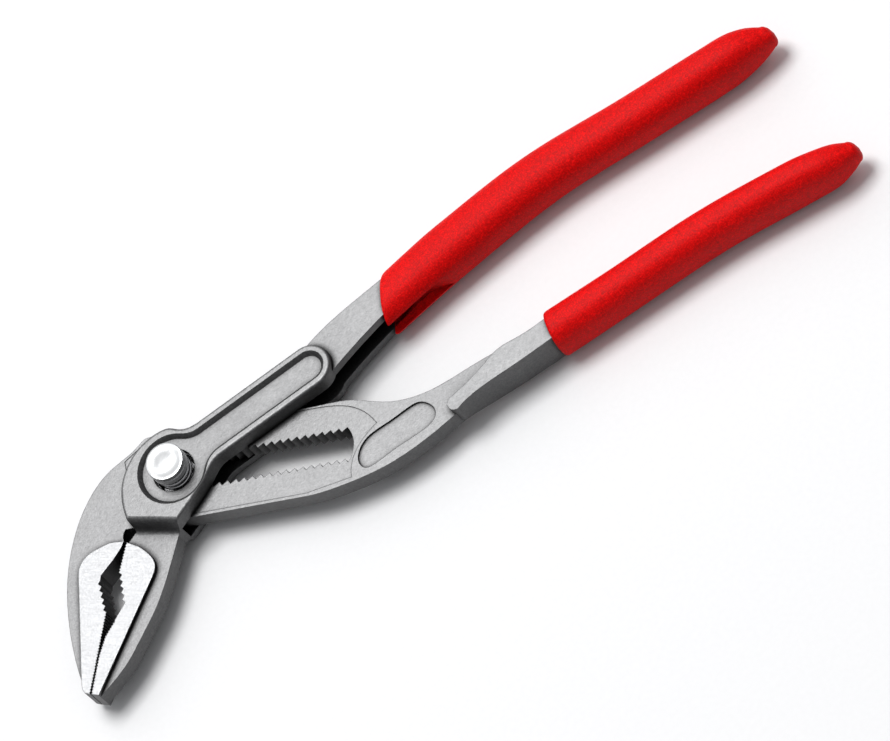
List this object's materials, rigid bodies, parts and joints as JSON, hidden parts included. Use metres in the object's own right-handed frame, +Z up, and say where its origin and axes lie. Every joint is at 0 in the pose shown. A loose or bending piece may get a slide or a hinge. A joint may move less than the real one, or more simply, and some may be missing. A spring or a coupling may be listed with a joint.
{
  "type": "tongue and groove pliers",
  "caption": "Adjustable pliers with angled serrated jaws, a toothed sliding box joint with a push button, and long dipped grips.",
  "frame": {"origin": "hinge axis on the underside of the joint, on the surface the tool lies on", "axes": "+X from the joint to the handle ends, +Y across the tool towards the back of the upper jaw, +Z up out of the push button"},
  "size_m": [0.1824, 0.0569, 0.0152],
  "materials": {
    "forged_steel": "matte phosphated grey",
    "bolt_steel": "machined",
    "button_chrome": "polished",
    "spring_steel": "drawn wire",
    "grip_plastic": "dipped, finely grained"
  },
  "bodies": {
    "fixed_handle": {"outer_arm": "forged_steel", "outer_grip": "grip_plastic"},
    "hinge_carrier": {"return_spring": "spring_steel"},
    "sliding_handle": {"inner_arm": "forged_steel", "inner_grip": "grip_plastic"},
    "locking_bolt": {"hinge_bolt": "bolt_steel", "push_button": "button_chrome"}
  },
  "joints": [
    {"name": "handle_pivot", "type": "hinge", "parent": "fixed_handle", "child": "hinge_carrier", "pos_m": [0, 0, 0.0057], "axis": [0, 0, -1], "range_deg": [0, 30]},
    {"name": "adjust_slide", "type": "slide", "parent": "hinge_carrier", "child": "sliding_handle", "axis": [-0.829, 0.5592, 0], "range_m": [0, 0.0315]},
    {"name": "button_press", "type": "slide", "parent": "hinge_carrier", "child": "locking_bolt", "axis": [0, 0, -1], "range_m": [0, 0.0023], "stiffness_N_per_m": 1500, "springref_m": -0.003, "deforming": ["return_spring"]}
  ]
}
